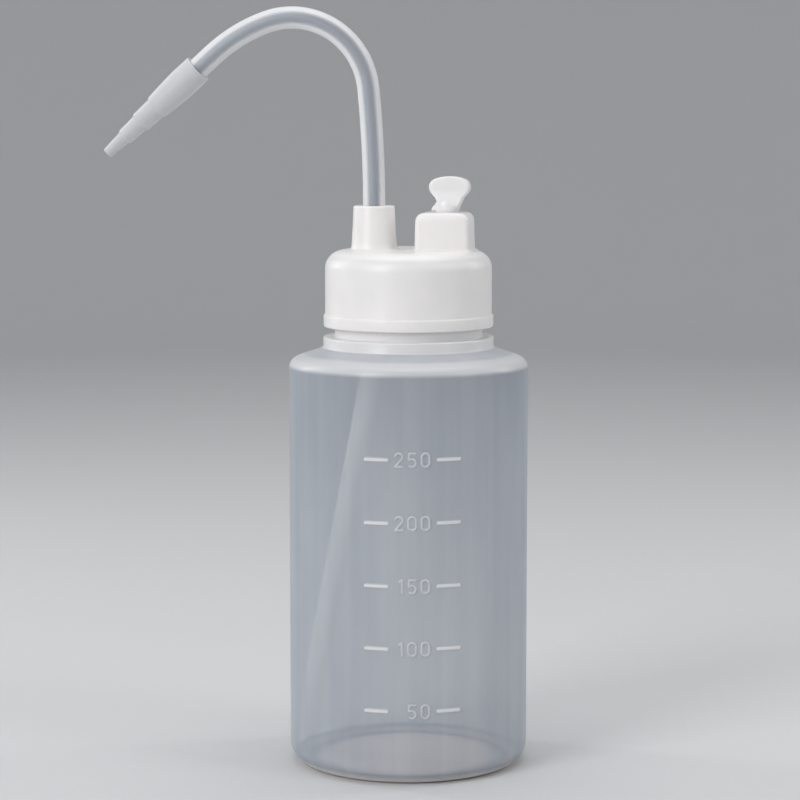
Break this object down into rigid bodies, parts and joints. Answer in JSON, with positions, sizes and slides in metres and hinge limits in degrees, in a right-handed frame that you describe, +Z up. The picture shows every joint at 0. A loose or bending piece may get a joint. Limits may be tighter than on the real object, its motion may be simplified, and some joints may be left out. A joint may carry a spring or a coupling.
{
  "type": "wash bottle",
  "caption": "Translucent squeeze wash bottle with a moulded volume scale, a screw cap, a gooseneck delivery tube with a stepped nozzle tip, and a quarter-turn vent cock.",
  "frame": {"origin": "on the bottle's axis, level with the bench that it stands on, within 1 mm of the centre of the pushed-up base", "axes": "+Z up along the bottle's axis; -X towards the spout's nozzle and +X towards the vent cock; -Y towards the side with the volume scale"},
  "size_m": [0.1154, 0.0643, 0.2029],
  "materials": {
    "bottle": "milky translucent low-density polyethylene, softly glossy",
    "cap": "white polypropylene, softly glossy, slightly translucent at thin edges",
    "vent_plug": "white polyethylene, softly glossy",
    "tube": "milky translucent polyethylene tube, softly glossy",
    "tip": "milky translucent polyethylene, fine-turned satin",
    "liner": "closed-cell polyethylene foam, matt",
    "o_ring": "clear-white silicone rubber, satin"
  },
  "bodies": {
    "bottle": {"bottle": "bottle"},
    "liner": {"cap_liner": "liner"},
    "cap": {"screw_cap": "cap"},
    "vent": {"vent_plug": "vent_plug", "vent_o_ring": "o_ring"},
    "spout": {"delivery_tube": "tube"},
    "nozzle": {"nozzle_tip": "tip"}
  },
  "joints": [
    {"name": "cap_lift", "type": "slide", "parent": "bottle", "child": "liner", "axis": [0, 0, 1], "range_m": [0, 0.0051]},
    {"name": "cap_turn", "type": "hinge", "parent": "liner", "child": "cap", "pos_m": [0, 0, 0.118], "axis": [0, 0, 1], "range_deg": [0, 450]},
    {"name": "spout_swivel", "type": "hinge", "parent": "cap", "child": "spout", "pos_m": [-0.0093, 0, 0.15], "axis": [0, 0, 1], "continuous": true},
    {"name": "nozzle_pull", "type": "slide", "parent": "spout", "child": "nozzle", "axis": [-0.7455, 0, -0.6665], "range_m": [0, 0.01]},
    {"name": "vent_turn", "type": "hinge", "parent": "cap", "child": "vent", "pos_m": [0.0105, 0, 0.148], "axis": [0, 0, 1], "range_deg": [0, 90]}
  ],
  "couplings": [
    {"joint": "cap_lift", "follows": "cap_turn", "m_per_rad": 0.00063662}
  ]
}
